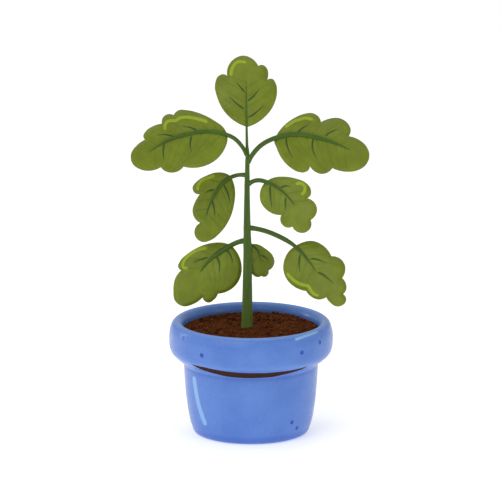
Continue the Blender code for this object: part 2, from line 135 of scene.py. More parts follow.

# drop: how far below the stem's top the leaf's node is. entry: the point of the stalk where the blade
# begins. full: the share of the stalk that keeps its radius. reach, sweep, tilt, arch and cup place the
# blade in depth. An outline is made of round stretches, each from the end of the one before it, with
# notches where they meet. The leaves are the imported model's, with side veins added and a painted
# highlight band: a pale stroke inside the upper margin that stands in for the leaf's gloss.
LEAVES = {
    "top": dict(
        drop=0, side=1, radius=1.2, full=0.1, entry=1,
        reach=0, sweep=0, tilt=0.16, arch=0.0062, cup=0.004,
        stalk=[(-0.1, -6), (-0.5, 14.6), (-0.7, 34), (-0.8, 55)],
        outline=[
            [(-9, 18.7), (-18, 27), (-24, 39), (-25.7, 50), (-22.8, 56.8), (-19, 58.2), (-16, 56.8)],
            [(-15.8, 63), (-9.5, 71.5), (-3.5, 73.6), (3, 71.6), (8.8, 65)],
            [(12.3, 65.8), (15.8, 62.8), (16.8, 58), (16, 53.5)],
            [(20, 54.3), (22.8, 50.5), (23.8, 43.5), (21.5, 33.5), (15.5, 24.3), (8, 18.1), (0, 14.6)],
        ],
        veins=[
            [(-2, 43.5), (-5, 47), (-8.5, 51.5)],
            [(-2.5, 29.5), (-8, 33.5), (-14, 39.5)],
            [(0.5, 36), (5, 40), (9.5, 45.5)],
            [(1, 22.5), (7, 26.5), (12.5, 32.5)],
        ],
        highlight_band=[(-13, 58), (-11.5, 64), (-9, 67.5), (-5, 68.5), (-2, 68)],
    ),
    "upper_left": dict(
        drop=6.5, side=-1, radius=1.7, full=0.7, entry=3,
        reach=-6, sweep=-0.34, tilt=0.7, arch=-0.0014, cup=0.005,
        stalk=[(0, -3), (-4.5, 5.5), (-10, 11.4), (-16.5, 14.7), (-30, 17.1), (-47, 15), (-63, 9.7),
               (-77.5, 0.5)],
        outline=[
            [(-18.5, 20), (-26.5, 26.5), (-37, 32), (-48, 34.9), (-55, 34.8), (-58.8, 30.8)],
            [(-62.5, 31.7), (-67, 29.2), (-68, 23.8)],
            [(-75, 21.7), (-81, 17.3), (-82.8, 13.5), (-81.5, 10.5)],
            [(-87.5, 6.2), (-92.5, -1.5), (-91.3, -9.2), (-85, -14), (-77, -15.1), (-68.8, -12.2)],
            [(-64.5, -15.8), (-59.5, -16.6), (-54.5, -15.2), (-50.8, -11.7)],
            [(-41, -12.6), (-31, -9.9), (-23, -4.3), (-17.8, 3.5), (-15.7, 11), (-16, 14.7)],
        ],
        veins=[
            [(-40.5, 18), (-46, 20.5), (-52, 21)],
            [(-59, 13), (-65.5, 14.5), (-72, 14)],
            [(-44.5, 13), (-45.5, 6.5), (-44.5, 0.5)],
            [(-66, 7), (-67, 0.5), (-66, -6.5)],
        ],
        highlight_band=[(-33, 25.5), (-41.5, 28), (-49, 29), (-53.5, 28.5), (-57.5, 26), (-62, 26), (-64.5, 24.5),
              (-65.5, 19.5)],
    ),
    "upper_right": dict(
        drop=15, side=1, radius=1.95, full=0.7, entry=3,
        reach=6, sweep=0.34, tilt=0.7, arch=-0.0018, cup=0.005,
        stalk=[(0, -1), (5, 8), (11, 14.5), (22.3, 20.6), (39, 23.6), (55, 21.2), (71, 16), (82, 10.8)],
        outline=[
            [(28, 29.6), (37, 36.9), (45.5, 40.7), (52.5, 41.2), (57.5, 37.8), (59, 33.8)],
            [(66, 36.8), (73.5, 37.2), (80, 33.4), (82.8, 27.5), (81.2, 22.2)],
            [(89.5, 19.2), (95.5, 13.5), (97.7, 6.5), (95, -1.3), (88, -6.1), (80, -7.2), (68, -4.2)],
            [(64.5, -7.7), (59.5, -9), (54, -7), (50, -2.6)],
            [(49.3, -5.3), (46, -7.6), (41.5, -7.5), (34, -3.4), (27.5, 3.8), (23.3, 12.8), (21.6, 18.2),
             (22.3, 20.8)],
        ],
        veins=[
            [(40.5, 25), (44, 28.5), (48, 31)],
            [(62.5, 22), (67, 25.5), (72.5, 27.5)],
            [(31, 20.5), (32.5, 12), (36.5, 4)],
            [(53, 20), (52, 14), (53, 9), (55.5, 4)],
        ],
        highlight_band=[(31, 30), (36, 33.5), (42, 36), (47.5, 37), (51.5, 36)],
    ),
    "middle_left": dict(
        drop=25.5, side=-1, radius=1.7, full=0.4, entry=2,
        reach=11, sweep=0.16, tilt=0.26, arch=-0.0022, cup=0.006,
        stalk=[(0, 0.2), (-6, 0.8), (-13, -1.1), (-20, -6.5), (-26, -15.5), (-30, -24), (-33, -33.5)],
        outline=[
            [(-17.5, 2.2), (-24, 2.9), (-33, 0.1), (-40.5, -4.7), (-43.8, -9.7), (-42.2, -13.9),
             (-38, -15.2)],
            [(-41.6, -21.1), (-43.8, -29), (-41.8, -35.3), (-37.7, -38.8)],
            [(-41.6, -43), (-41.6, -49.8), (-36, -54.5), (-29.5, -53.2), (-21.5, -46.8), (-14.5, -36.5),
             (-10.3, -22.5), (-10, -9.5), (-13, -0.5)],
        ],
        veins=[
            [(-18.5, -7.5), (-16, -13), (-13.5, -23)],
            [(-28, -20.5), (-26.5, -26.5), (-26, -33.5)],
            [(-26.5, -11.5), (-30, -12), (-33.5, -14.5)],
        ],
        highlight_band=[(-27, 0), (-31, -1.5), (-35, -3), (-38, -5.5), (-39.5, -8.5), (-39.5, -11)],
    ),
    "middle_right": dict(
        drop=33, side=1, radius=1.75, full=0.35, entry=3,
        reach=-8, sweep=-0.2, tilt=0.4, arch=-0.002, cup=0.006,
        stalk=[(0, -1), (4, 2.6), (8, 3.7), (15.5, 2.3), (24, -2.4), (31.5, -9), (38, -17)],
        outline=[
            [(21, 6), (29, 6.8), (39, 5.2), (46.5, 2), (50.8, -3.7), (50.4, -8.7), (48, -11)],
            [(53, -13.8), (55.7, -20), (54, -25.8), (50.6, -29)],
            [(51, -34), (46.8, -39), (40.5, -39), (36, -34.4)],
            [(31.5, -35.1), (26.7, -30.5), (27.2, -24.8)],
            [(22, -24.3), (15.3, -20.4), (10.8, -14), (10, -8), (11.7, -1.5), (15.3, 3)],
        ],
        veins=[
            [(18.5, -0.5), (18.5, -8), (20, -19)],
            [(31, -10.5), (30.5, -15.5), (31, -21)],
            [(27, -2.5), (31, -1), (35, -1.5)],
        ],
        highlight_band=[(40, 1), (43.5, 1), (46, -1.5), (46, -4.5), (44, -7.5)],
    ),
    "lower_left": dict(
        drop=79, side=-1, radius=2.05, full=0.5, entry=2,
        reach=11, sweep=0.16, tilt=0.3, arch=-0.0018, cup=0.005,
        stalk=[(0, 0.2), (-7, -1), (-13.5, -4), (-22, -9.5), (-30.5, -16.5), (-37.5, -26)],
        outline=[
            [(-19, -1.6), (-28, -1.7), (-39, -5.2), (-48, -10.8), (-54, -17), (-55.4, -21.7),
             (-53, -24.4)],
            [(-57, -29.5), (-59.2, -41), (-57.5, -50), (-51.5, -54), (-43.5, -52.4), (-35.8, -46.8)],
            [(-33.8, -50), (-30.5, -51), (-26.8, -48.8), (-23.3, -43.7)],
            [(-16, -41.8), (-9, -36.4), (-5, -28.3), (-4.6, -19.5), (-7.8, -10), (-13.5, -3.2)],
        ],
        veins=[
            [(-16.5, -7.5), (-13.5, -11.5), (-11.5, -18)],
            [(-24.5, -13), (-22.5, -18), (-22.5, -26)],
            [(-31.5, -14), (-37, -15.5), (-43, -18)],
        ],
        highlight_band=[(-33.5, -6), (-39.5, -7.5), (-45, -10.5), (-49.5, -15), (-51.5, -19), (-51, -22),
              (-48.5, -22.5)],
    ),
    "lower_right": dict(
        drop=68.5, side=1, radius=1.95, full=0.45, entry=3,
        reach=-16, sweep=-0.2, tilt=0.4, arch=-0.0016, cup=0.006,
        stalk=[(0, 0.3), (10, -1.2), (24, -6.3), (38.5, -15.3), (47, -24.5), (55, -36)],
        outline=[
            [(44.5, -11.7), (52, -10.6), (60, -13.9), (64.8, -18.7), (67.2, -23.2)],
            [(73.5, -24.7), (77.8, -30), (78, -36.5), (75.8, -41.2)],
            [(79, -46.5), (78.8, -51.3), (76.5, -54.3)],
            [(79, -59), (76, -63.5), (71, -64.5), (66.5, -61.7), (63, -57)],
            [(57, -58.9), (51, -56.5), (47, -51.9)],
            [(40, -49.8), (32.8, -43.9), (29.1, -36), (29.3, -27.5), (33.5, -18.9), (38.5, -14.9)],
        ],
        veins=[
            [(42.5, -22), (41.5, -29), (42.5, -36.5)],
            [(50.5, -25.5), (54.5, -25.5), (59, -27), (63.5, -29)],
            [(56.5, -36.5), (60.5, -38.5), (65, -42), (68.5, -45.5)],
        ],
        highlight_band=[(32.5, -38), (36.5, -42.5), (41, -45.5), (45, -47), (49, -48), (50.5, -51), (53, -54),
              (56, -55.5)],
    ),
    "small": dict(
        drop=81.5, side=1, radius=0.85, full=0.5, entry=1,
        reach=6.5, sweep=0.45, tilt=0.04, arch=-0.003, cup=0.01,
        stalk=[(1.5, 0.6), (5.5, -2), (8.3, -5.5), (9.9, -10), (10.3, -16)],
        outline=[
            [(8, -0.3), (14.5, -3.9), (20.3, -9.5), (21.8, -15.2), (20, -19.7), (17, -22.1)],
            [(16.6, -25.5), (13.8, -27.3), (11.3, -26.5)],
            [(8, -27.5), (4, -25), (1.5, -18), (1, -9), (3.2, -0.2)],
        ],
        veins=[[(11, -9.5), (14, -11), (17, -14)]],
        highlight_band=[],
    ),
}

# Blue-black specks in the glaze: degrees round the pot from its front, towards +X, height, radius.
SPECKS = [
    (-57, 85.8, 1.8), (-36.8, 75.8, 1.8), (38.2, 77.8, 1.8), (57.3, 82.2, 1.8), (40.6, 16.9, 1.7),
    (48.5, 10.6, 1.75),
    (122, 74, 1.5), (-128, 80, 1.4), (168, 38, 1.6), (-166, 47, 1.4), (-104, 24, 1.5), (96, 41, 1.3),
    (143, 15, 1.4),
]
# Painted highlights, pale strokes in the glaze that stand in for its gloss: lines of (degrees round the
# pot, height) and half a width.
PAINTED_HIGHLIGHT_STREAKS = [
    ([(-58.3, 49.6), (-54.6, 31.5), (-48.2, 15.6)], 2.7),
    ([(34.5, 89.0), (46, 90.1), (57.5, 90.3)], 1.15),
]


# -------- curves


def on_circle(a, b, c, start, end, t):
    """The point at share t of the arc from start to end, on the circle through a, b and c."""
    (ax, ay), (bx, by), (cx, cy) = a, b, c
    d = 2 * (ax * (by - cy) + bx * (cy - ay) + cx * (ay - by))
    if abs(d) < 1e-6:
        return np.array(start) + t * (np.array(end) - np.array(start))
    aa, bb, cc = ax * ax + ay * ay, bx * bx + by * by, cx * cx + cy * cy
    centre = np.array(
        [aa * (by - cy) + bb * (cy - ay) + cc * (ay - by), aa * (cx - bx) + bb * (ax - cx) + cc * (bx - ax)]
    ) / d
    u, v = np.array(start) - centre, np.array(end) - centre
    turn = math.atan2(u[0] * v[1] - u[1] * v[0], u @ v) * t
    return centre + np.array(
        [u[0] * math.cos(turn) - u[1] * math.sin(turn), u[0] * math.sin(turn) + u[1] * math.cos(turn)]
    )


def smooth_curve(points, step):
    """Points about step apart on a round curve through these: each span blends the arcs of its two ends."""
    made = [np.array(points[0], float)]
    last = len(points) - 1
    for i in range(last):
        start, end = points[i], points[i + 1]
        before = points[max(i - 1, 0):][:3]
        after = points[min(i, last - 2):][:3]
        count = max(1, round(math.dist(start, end) / step))
        for k in range(1, count + 1):
            t = k / count
            made.append((1 - t) * on_circle(*before, start, end, t) + t * on_circle(*after, start, end, t))
    return made


def smooth_step(low, high, values):
    """0 below low, 1 above high and a smooth ramp between, for an array or a number."""
    share = np.clip((values - low) / (high - low), 0, 1)
    return share * share * (3 - 2 * share)


def distance_to(points, line):
    """(distance to a polyline, share of its length at the nearest place) for each (right, up) point."""
    line = np.asarray(line, float)
    lengths = np.r_[0, np.cumsum(np.linalg.norm(np.diff(line, axis=0), axis=1))]
    nearest = np.full(len(points), np.inf)
    share = np.zeros(len(points))
    for i in range(len(line) - 1):
        start, step = line[i], line[i + 1] - line[i]
        t = np.clip((points - start) @ step / (step @ step), 0, 1)
        away = np.linalg.norm(points - (start + t[:, None] * step), axis=1)
        closer = away < nearest
        nearest[closer] = away[closer]
        share[closer] = ((lengths[i] + t * (lengths[i + 1] - lengths[i])) / lengths[-1])[closer]
    return nearest, share


def rough(points, size, seed):
    """Smooth noise of -1 to 1 at each 3-D point, whose bumps are about size across."""
    shift = Vector((13.7 * seed, -7.3 * seed, 3.1 * seed))
    return np.array([noise.noise(Vector(p) / size + shift) for p in points])


# -------- meshes


def add_mesh(name, points, faces, material, attributes):
    """A mesh object from points in millimetres, which rides on the one body there is.

    attributes gives a number or a vector for each point, by name.
    """
    mesh = bpy.data.meshes.new(name)
    mesh.from_pydata([tuple(float(c) * MM for c in p) for p in points], [], faces)
    for key, values in attributes.items():
        values = np.asarray(values, np.float32)
        if values.ndim == 2:
            mesh.attributes.new(key, "FLOAT_VECTOR", "POINT").data.foreach_set("vector", values.ravel())
        else:
            mesh.attributes.new(key, "FLOAT", "POINT").data.foreach_set("value", values)
    mesh.validate()
    bm = bmesh.new()
    bm.from_mesh(mesh)
    bmesh.ops.recalc_face_normals(bm, faces=bm.faces)
    bm.to_mesh(mesh)
    bm.free()
    mesh.shade_smooth()
    mesh.materials.append(material)
    made = bpy.data.objects.new(name, mesh)
    bpy.context.scene.collection.objects.link(made)
    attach(made, "root")
    return made


def sweep(path, section):
    """(points, faces) of a closed tube: section(i) gives ring i's outline as (across, beside) pairs."""
    across = np.array([0.0, 1.0, 0.0])
    points, faces = [], []
    last = len(path) - 1
    path = np.asarray(path, float)
    for i in range(last + 1):
        along = path[min(i + 1, last)] - path[max(i - 1, 0)]
        along = along / np.linalg.norm(along)
        across = across - along * (across @ along)
        across = across / np.linalg.norm(across)
        beside = np.cross(along, across)
        points += [path[i] + a * across + b * beside for a, b in section(i)]
    sides = len(points) // (last + 1)
    for i in range(last):
        for k in range(sides):
            j = (k + 1) % sides
            faces.append((i * sides + k, i * sides + j, (i + 1) * sides + j, (i + 1) * sides + k))
    faces.append(tuple(range(sides))[::-1])
    faces.append(tuple(last * sides + k for k in range(sides)))
    return points, faces


def lathe(profile, sides, closed):
    """(points, faces) of a (radius, height) profile turned about the pot's axis; closed joins its ends."""
    points, faces, rings = [], [], []
    for r, z in profile:
        if r < 1e-6:
            rings.append([len(points)] * sides)
            points.append((0.0, 0.0, z))
            continue
        rings.append(list(range(len(points), len(points) + sides)))
        for k in range(sides):
            angle = 2 * math.pi * k / sides
            points.append((r * math.sin(angle), -r * math.cos(angle), z))
    pairs = list(zip(rings, rings[1:]))
    if closed:
        pairs.append((rings[-1], rings[0]))
    for low, high in pairs:
        for k in range(sides):
            j = (k + 1) % sides
            corners = [low[k], low[j], high[j], high[k]]
            faces.append(tuple(c for n, c in enumerate(corners) if c not in corners[:n]))
    return points, faces


# -------- materials


class Shader:
    """A node material in the making: each method adds nodes and returns the socket that they end in."""

    # Which sockets of a Mix node hold its colours: it has others for numbers and vectors.
    COLOUR_A, COLOUR_B, COLOUR_RESULT = 6, 7, 2

    def __init__(self, name, roughness, **sockets):
        self.material = bpy.data.materials.new(name)
        self.material.use_nodes = True
        self.nodes = self.material.node_tree.nodes
        self.links = self.material.node_tree.links
        self.principled = self.nodes["Principled BSDF"]
        self.principled.inputs["Roughness"].default_value = roughness
        for key, value in sockets.items():
            self.principled.inputs[key.replace("_", " ")].default_value = value
        self.coordinates = self.nodes.new("ShaderNodeTexCoord").outputs["Object"]

    def put(self, value, socket):
        """Links a socket's value, or sets a plain one."""
        if isinstance(value, bpy.types.NodeSocket):
            self.links.new(value, socket)
        else:
            socket.default_value = value

    def attribute(self, name, output="Fac"):
        node = self.nodes.new("ShaderNodeAttribute")
        node.attribute_name = name
        return node.outputs[output]

    def noise(self, size, detail=3.0, roughness=0.5, stretch=(1, 1, 1), where=None):
        """Noise whose features are about size millimetres across, in object space or where is given."""
        node = self.nodes.new("ShaderNodeTexNoise")
        node.inputs["Scale"].default_value = 1 / (size * MM)
        node.inputs["Detail"].default_value = detail
        node.inputs["Roughness"].default_value = roughness
        mapping = self.nodes.new("ShaderNodeMapping")
        mapping.inputs["Scale"].default_value = stretch
        self.links.new(where or self.coordinates, mapping.inputs["Vector"])
        self.links.new(mapping.outputs["Vector"], node.inputs["Vector"])
        return node.outputs["Fac"]

    def cell_edges(self, size):
        """The distance to the edges of cells about size millimetres across, as a share of a cell."""
        node = self.nodes.new("ShaderNodeTexVoronoi")
        node.feature = "DISTANCE_TO_EDGE"
        node.inputs["Scale"].default_value = 1 / (size * MM)
        self.links.new(self.coordinates, node.inputs["Vector"])
        return node.outputs["Distance"]

    def ramp(self, value, low, high, start=0.0, end=1.0):
        """start where the value is under low, end where it is over high and a smooth ramp between."""
        node = self.nodes.new("ShaderNodeMapRange")
        node.interpolation_type = "SMOOTHSTEP"
        for key, number in (("From Min", low), ("From Max", high), ("To Min", start), ("To Max", end)):
            node.inputs[key].default_value = number
        self.put(value, node.inputs["Value"])
        return node.outputs["Result"]

    def math(self, operation, a, b=0.0):
        node = self.nodes.new("ShaderNodeMath")
        node.operation = operation
        self.put(a, node.inputs[0])
        self.put(b, node.inputs[1])
        return node.outputs[0]

    def mix(self, factor, a, b):
        """Colour a where factor is 0 and colour b where it is 1."""
        node = self.nodes.new("ShaderNodeMix")
        node.data_type = "RGBA"
        self.put(factor, node.inputs["Factor"])
        self.put(a, node.inputs[self.COLOUR_A])
        self.put(b, node.inputs[self.COLOUR_B])
        return node.outputs[self.COLOUR_RESULT]

    def tint(self, base, name, strength, shade):
        """base with shade mixed in by strength times the attribute called name."""
        return self.mix(self.math("MULTIPLY", self.attribute(name), strength), base, shade)

    def lay_over(self, base, name, edge, strength, shade):
        """base with shade over it where the attribute called name, in millimetres, is above 0."""
        return self.mix(self.ramp(self.attribute(name), -edge, edge, 0.0, strength), base, shade)

    def bump(self, height, distance, strength, under=None):
        """A bump whose full height is distance millimetres, on top of another bump if one is given."""
        node = self.nodes.new("ShaderNodeBump")
        node.inputs["Distance"].default_value = distance * MM
        node.inputs["Strength"].default_value = strength
        self.links.new(height, node.inputs["Height"])
        if under:
            self.links.new(under, node.inputs["Normal"])
        return node.outputs["Normal"]

    def finish(self, base, roughness=None, normal=None):
        self.put(base, self.principled.inputs["Base Color"])
        if roughness:
            self.links.new(roughness, self.principled.inputs["Roughness"])
        if normal:
            self.links.new(normal, self.principled.inputs["Normal"])
        return self.material


def colour(red, green, blue):
    """A linear colour from display values of 0 to 255."""
    shares = [v / 255 for v in (red, green, blue)]
    return tuple(((v + 0.055) / 1.055) ** 2.4 if v > 0.04 else v / 12.92 for v in shares) + (1,)


def leaf_material():
    shader = Shader("leaf", 0.45, IOR=1.36, Subsurface_Weight=0.1, Subsurface_Scale=0.0015)
    patches = shader.ramp(shader.noise(14, 2), 0.35, 0.68)
    base = shader.mix(patches, colour(104, 118, 14), colour(114, 130, 22))
    cell_edges = shader.cell_edges(1.5)
    net = shader.ramp(cell_edges, 0.02, 0.16, 0.2, 0.0)
    base = shader.mix(net, base, colour(84, 102, 20))
    base = shader.tint(base, "quilt", 0.22, colour(130, 148, 36))
    base = shader.lay_over(base, "fine_vein", 0.3, 0.24, colour(78, 100, 22))
    base = shader.tint(base, "margin", 0.25, colour(136, 150, 50))
    # painted highlight: a pale stroke inside the upper margin that stands in for the leaf's gloss
    base = shader.lay_over(base, "highlight_band", 0.12, 0.9, colour(149, 170, 30))
    base = shader.lay_over(base, "vein", 0.12, 0.95, colour(46, 76, 18))
    base = shader.tint(base, "under", 0.5, colour(140, 158, 82))
    base = shader.lay_over(base, "rib", 0.15, 0.75, colour(66, 92, 30))
    speckle = shader.ramp(shader.noise(0.5, 2), 0.3, 0.75, 0.0, 0.1)
    base = shader.mix(speckle, base, colour(72, 90, 16))
    roughness = shader.ramp(shader.noise(3, 3), 0.3, 0.7, 0.38, 0.52)
    cells = shader.bump(cell_edges, 0.22, 0.6)
    grain = shader.bump(shader.noise(0.8, 3), 0.12, 0.5, cells)
    return shader.finish(base, roughness, grain)


def stem_material():
    shader = Shader("stem", 0.5, IOR=1.3, Subsurface_Weight=0.06, Subsurface_Scale=0.001)
    along = shader.attribute("grain", "Vector")
    streaks = shader.ramp(shader.noise(1.4, 4, stretch=ALONG_GRAIN, where=along), 0.3, 0.72)
    base = shader.mix(streaks, colour(60, 86, 24), colour(72, 100, 32))
    base = shader.tint(base, "ridge", 0.3, colour(86, 110, 38))
    # painted light: the stem is lighter near the soil, to lift the shade that the pot's rim casts there
    base = shader.tint(base, "painted_light_at_base", 0.4, colour(98, 118, 46))
    freckles = shader.ramp(shader.noise(0.7, 2), 0.55, 0.8, 0.0, 0.3)
    base = shader.mix(freckles, base, colour(38, 54, 16))
    roughness = shader.ramp(shader.noise(2, 2), 0.3, 0.7, 0.4, 0.56)
    fibres = shader.bump(shader.noise(1.0, 4, stretch=ALONG_GRAIN, where=along), 0.25, 0.6)
    return shader.finish(base, roughness, fibres)


def soil_material():
    shader = Shader("soil", 0.95, IOR=1.15)
    patches = shader.ramp(shader.noise(5, 4), 0.35, 0.65)
    base = shader.mix(patches, colour(78, 37, 13), colour(100, 52, 22))
    base = shader.mix(shader.ramp(shader.noise(1.0, 3), 0.45, 0.7), base, colour(54, 23, 6))
    base = shader.mix(shader.attribute("tone"), base, colour(116, 68, 34))
    grain = shader.bump(shader.noise(0.7, 5, 0.65), 0.5, 0.9)
    return shader.finish(base, None, grain)


def speck_cover(shader):
    """0 to 1: how much of each place is under one of the specks, whose edges are a little uneven."""
    wobble = shader.math("MULTIPLY", shader.noise(1.2, 2), 0.4 * MM)
    cover = 0.0
    for angle, up, radius in SPECKS:
        turn = math.radians(angle)
        reach = pot_radius(up)
        node = shader.nodes.new("ShaderNodeVectorMath")
        node.operation = "DISTANCE"
        shader.links.new(shader.coordinates, node.inputs[0])
        node.inputs[1].default_value = (reach * math.sin(turn) * MM, -reach * math.cos(turn) * MM, up * MM)
        away = shader.math("ADD", node.outputs["Value"], wobble)
        speck = shader.ramp(away, radius * MM, (radius + 0.5) * MM, 1.0, 0.0)
        cover = shader.math("MAXIMUM", cover, speck)
    return cover


def pot_material():
    shader = Shader("pot_glaze", 0.25, IOR=1.3, Coat_Roughness=0.16)
    patches = shader.ramp(shader.noise(26, 3), 0.3, 0.7)
    base = shader.mix(patches, colour(84, 122, 198), colour(93, 131, 205))
    mottle = shader.ramp(shader.noise(2.2, 4, 0.6), 0.45, 0.8, 0.0, 0.28)
    base = shader.mix(mottle, base, colour(66, 102, 190))
    base = shader.tint(base, "thin_glaze", 0.55, colour(122, 160, 224))
    base = shader.tint(base, "pooled_glaze", 0.45, colour(60, 96, 184))
    # painted highlight: pale blue streaks that stand in for the glaze's gloss
    base = shader.lay_over(base, "highlight_streak", 0.15, 1.0, colour(132, 174, 224))
    specks = shader.math("MULTIPLY", speck_cover(shader), 0.95)
    base = shader.mix(specks, base, colour(36, 68, 170))
    # bare clay on the foot and the floor, and painted shade in the crescents under the collar: dark brown,
    # rough and uncoated
    clay_and_shade_tone = shader.ramp(shader.noise(1.2, 4), 0.35, 0.7)
    clay_and_shade_colour = shader.mix(clay_and_shade_tone, colour(45, 21, 8), colour(62, 33, 15))
    clay_and_painted_shade = shader.ramp(shader.attribute("clay_and_painted_shade"), -0.15, 0.15)
    base = shader.mix(clay_and_painted_shade, base, clay_and_shade_colour)
    glaze_roughness = shader.ramp(shader.noise(7, 2), 0.3, 0.7, 0.24, 0.34)
    roughness = shader.math("ADD", glaze_roughness, shader.math("MULTIPLY", clay_and_painted_shade, 0.6))
    waves = shader.bump(shader.noise(11, 2, stretch=(1, 1, 2.5)), 0.4, 0.25)
    grain = shader.bump(shader.noise(0.6, 3), 0.04, 0.3, waves)
    coat = shader.math("MULTIPLY", shader.math("SUBTRACT", 1.0, clay_and_painted_shade), 0.12)
    shader.links.new(coat, shader.principled.inputs["Coat Weight"])
    return shader.finish(base, roughness, grain)


def floor_material():
    shader = Shader("studio_floor", 0.6, Emission_Color=(1, 1, 1, 1), Emission_Strength=FLOOR_GLOW)
    patches = shader.ramp(shader.noise(300, 2), 0.3, 0.7)
    return shader.finish(shader.mix(patches, colour(250, 250, 250), colour(253, 253, 253)))


# -------- pot and soil


def pot_profile():
    """The pot's outline as {part: [(radius, height), ...]}, in order up its outside and down its inside."""
    foot = [(DRAIN_RADIUS, POT_FLOOR), (DRAIN_RADIUS, 5), (DRAIN_RADIUS, BASE_LIFT)]
    foot += [(r, BASE_LIFT) for r in range(10, 36, 4)]
    foot += [(35.6, BASE_LIFT), (36.4, 1.5), (37, 0.5), (37.8, 0), (39.5, 0), (41.4, 0)]
    body = [(43.1, 0.15), (45.6, 1.5), (47.4, 5.5), (51.3, 24), (53.2, 44)]
    body += [(BODY_TOP_RADIUS, BODY_TOP_HEIGHT)]
    ledge = [(BODY_TOP_RADIUS + 0.3, BODY_TOP_HEIGHT + 1), (BODY_TOP_RADIUS + 1.3, BODY_TOP_HEIGHT + 2.2)]
    ledge += [(60.1, 62.5), (LEDGE_RADIUS, LEDGE_HEIGHT)]
    collar = [
        (LEDGE_RADIUS + 0.5, LEDGE_HEIGHT + 0.8), (LEDGE_RADIUS + 1.4, LEDGE_HEIGHT + 3.4),
        (COLLAR_RADIUS, 76.5), (64.5, POT_HEIGHT - 5.2), (62.8, POT_HEIGHT - 1.7),
        (CREST_RADIUS, POT_HEIGHT), (56, POT_HEIGHT - 1.8), (MOUTH_RADIUS, SOIL_HEIGHT),
    ]
    return {
        "foot": foot,
        "body": smooth_curve(body, 1.0),
        "under_collar": smooth_curve(ledge, 0.3),
        "collar": smooth_curve(collar, 0.8),
        "inside": smooth_curve([(MOUTH_RADIUS - 0.2, SOIL_HEIGHT - 3), *INSIDE_WALL], 4),
        "floor": [(r, POT_FLOOR) for r in (37.5, 30, 20, 12)],
    }


def pot_outside():
    """(radius, height, length of the outline so far) up the pot's outside, from its foot to its rim."""
    profile = pot_profile()
    outside = np.array([p for part in ("body", "under_collar", "collar") for p in profile[part]])
    outside = outside[: int(np.argmax(outside[:, 1])) + 1]
    girth = np.r_[0, np.cumsum(np.linalg.norm(np.diff(outside, axis=0), axis=1))]
    return outside[:, 0], outside[:, 1], girth


def pot_radius(up):
    """The radius of the pot's outside at a height."""
    radius, height, _ = pot_outside()
    return float(np.interp(up, height, radius))


def shade_crescent(angle, radius):
    """How far inside a crescent of painted shade a place is, in millimetres: degrees round the pot,
    distance from its axis.

    A crescent's outer edge rises to its left end. Its inner edge follows the body and then curves out.
    """
    period = 360 / SHADE_CRESCENTS
    turn = (angle + period / 2) % period - period / 2
    outer = np.minimum(60.9 - 0.028 * turn + 0.0012 * turn**2, LEDGE_RADIUS - 0.2)
    inner = BODY_TOP_RADIUS + 0.2 + 6.7 * (np.abs(turn) / 45) ** 3.5
    to_ends = SHADE_CRESCENT_HALF_ANGLE - np.abs(turn)
    return np.minimum(np.minimum(radius - inner, outer - radius), to_ends)


def build_pot(material):
    """The pot, with its bare clay foot, painted shade in crescents under its collar, its pale and dark
    glaze with painted highlight streaks and the throwing rings in its wall.
    """
    profile = pot_profile()
    parts = np.repeat([part for part in profile for _ in profile[part]], POT_SEGMENTS)
    points, faces = lathe([p for part in profile for p in profile[part]], POT_SEGMENTS, closed=True)
    points = np.array(points)
    radius = np.hypot(points[:, 0], points[:, 1])
    up = points[:, 2]
    angle = np.arctan2(points[:, 0], -points[:, 1])
    outer = np.isin(parts, ("body", "under_collar", "collar"))
    _, height, girth = pot_outside()
    to_rim = np.arange(len(points)) // POT_SEGMENTS < len(profile["foot"]) + len(height)

    # bare clay on the foot and floor; under the collar, crescents of painted shade where the collar's
    # shadow falls
    bare_clay_and_shade = np.where(np.isin(parts, ("foot", "floor")), 1.0, -0.4)
    shade_on_ledge = shade_crescent(np.degrees(angle), radius + 0.2 * rough(points, 9, 4))
    bare_clay_and_shade = np.where(parts == "under_collar", shade_on_ledge, bare_clay_and_shade)
    thin = np.where(parts == "collar", np.exp(-(((up - POT_HEIGHT) / 1.2) ** 2)), 0)
    thin = np.maximum(thin, 0.35 * outer * np.exp(-(((radius - 64.0) / 0.8) ** 2)) * (up < 70))
    pooled = np.exp(-(((up - 56) / 1.8) ** 2)) + np.exp(-(((up - 4) / 2.5) ** 2))
    pooled = np.where(parts == "body", pooled, 0)
    # the painted highlight streaks, as how far inside their lines each point is
    highlight_streak = np.full(len(points), -1.0)
    for line, half_width in PAINTED_HIGHLIGHT_STREAKS:
        reach = pot_radius(line[1][1])
        laid_out = [(math.radians(a) * reach, float(np.interp(z, height, girth))) for a, z in line]
        places = np.c_[angle * reach, np.interp(up, height, girth)]
        away, _ = distance_to(places, smooth_curve(laid_out, 1.5))
        highlight_streak = np.maximum(highlight_streak, np.where(outer & to_rim, half_width - away, -1.0))

    waver = 0.1 * np.sin(2 * angle + 0.4) + 0.06 * np.sin(5 * angle + up / 14)
    waver = waver + 0.03 * np.sin(up / 2.1 + angle)  # the rings that fingers leave on a wheel
    waver = np.where(outer & (up > 3), waver - 0.05, 0)
    points[:, 0] *= 1 + waver / radius
    points[:, 1] *= 1 + waver / radius
    attributes = {"clay_and_painted_shade": bare_clay_and_shade, "thin_glaze": thin, "pooled_glaze": np.clip(pooled, 0, 1), "highlight_streak": highlight_streak}
    pot = add_mesh("glazed_pot", points, faces, material, attributes)
    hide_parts("pot")


def soil_top(radius):
    """The height of the even surface of the soil at a distance from the pot's axis."""
    mound = np.interp(radius, [0, 8, 16, 34, 54], [1.7, 1.5, 0.9, 0.1, -0.4])
    return SOIL_HEIGHT + float(mound)


